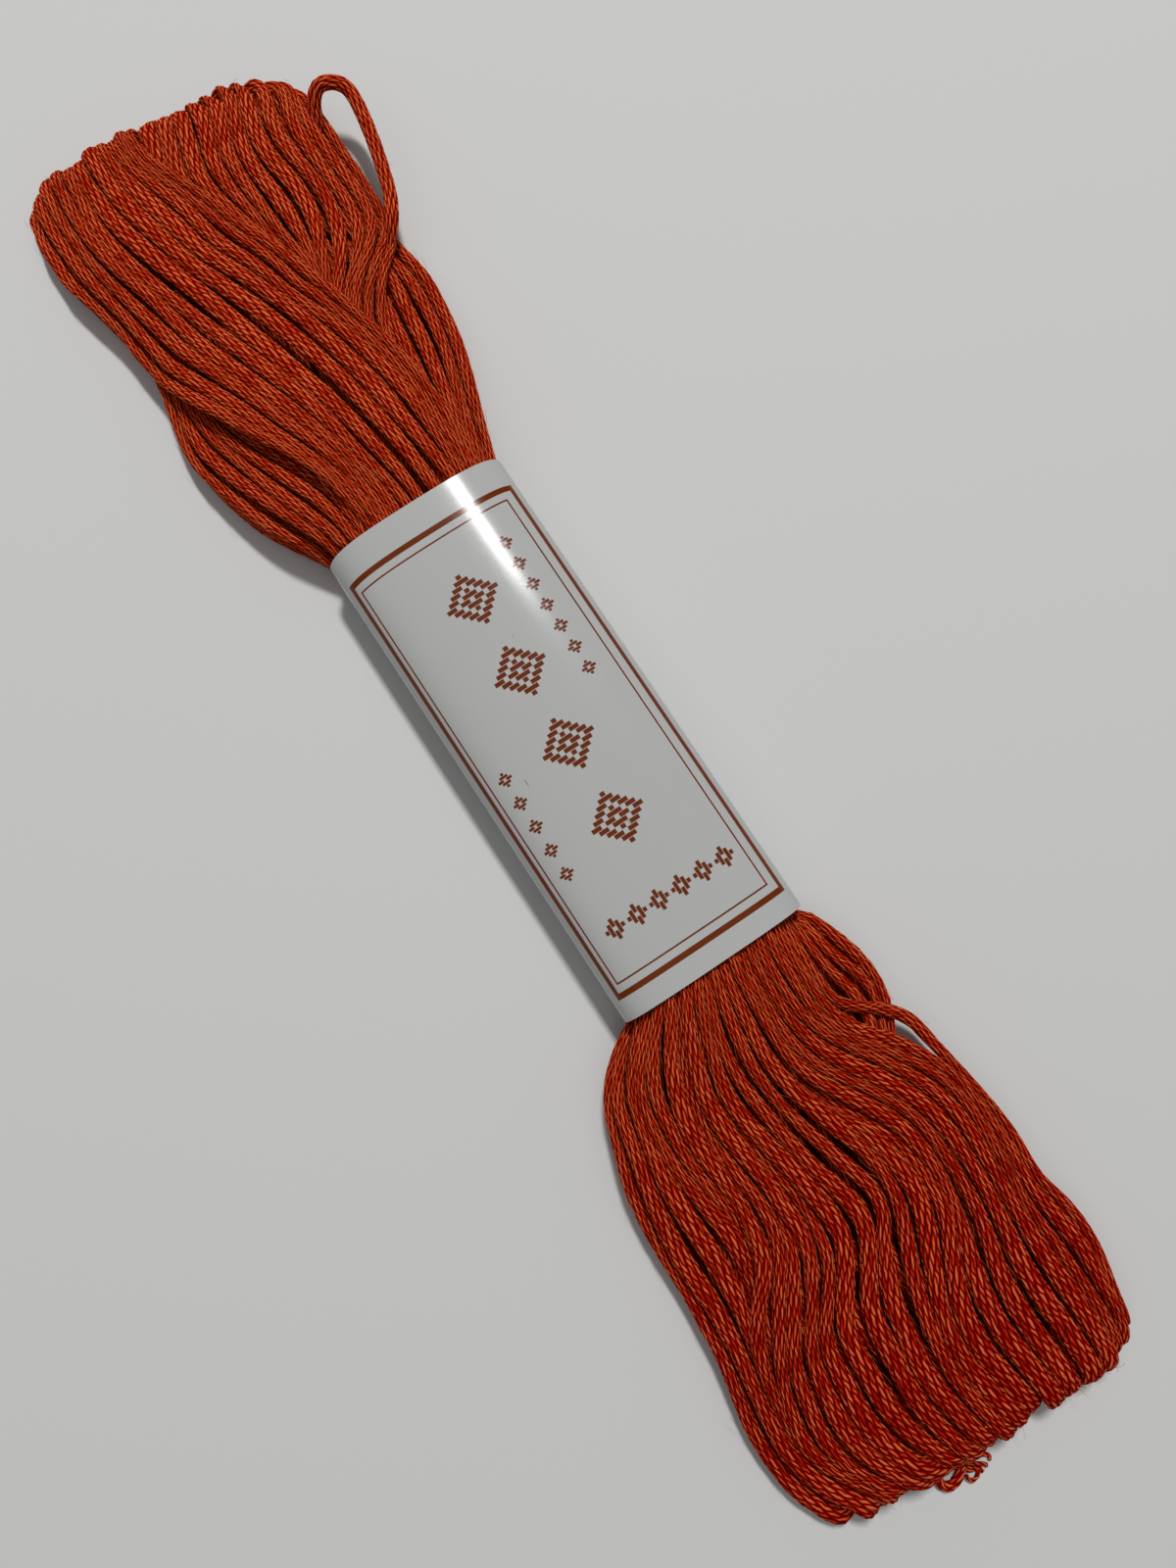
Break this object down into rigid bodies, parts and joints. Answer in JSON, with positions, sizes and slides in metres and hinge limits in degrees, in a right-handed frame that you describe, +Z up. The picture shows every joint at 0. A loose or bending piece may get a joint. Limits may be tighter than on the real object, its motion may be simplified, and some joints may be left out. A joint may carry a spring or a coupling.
{
  "type": "skein of kogin thread",
  "caption": "Flat skein of soft twisted cotton thread, its end loops fanned out on either side of a plain paper band that pinches its waist.",
  "frame": {"origin": "middle of the paper band's underside, on the surface that the skein lies on", "axes": "+X along the skein from the crossed fan to the wavy fan, +Y across it, +Z up from the surface"},
  "size_m": [0.1578, 0.0405, 0.0094],
  "materials": {
    "thread": "matte soft-twisted cotton thread, burnt orange",
    "paper": "white coated paper with a soft gloss and a brown printed frame"
  },
  "bodies": {
    "root": {"hank": "thread", "band": "paper", "loose_end": "thread"}
  },
  "joints": []
}
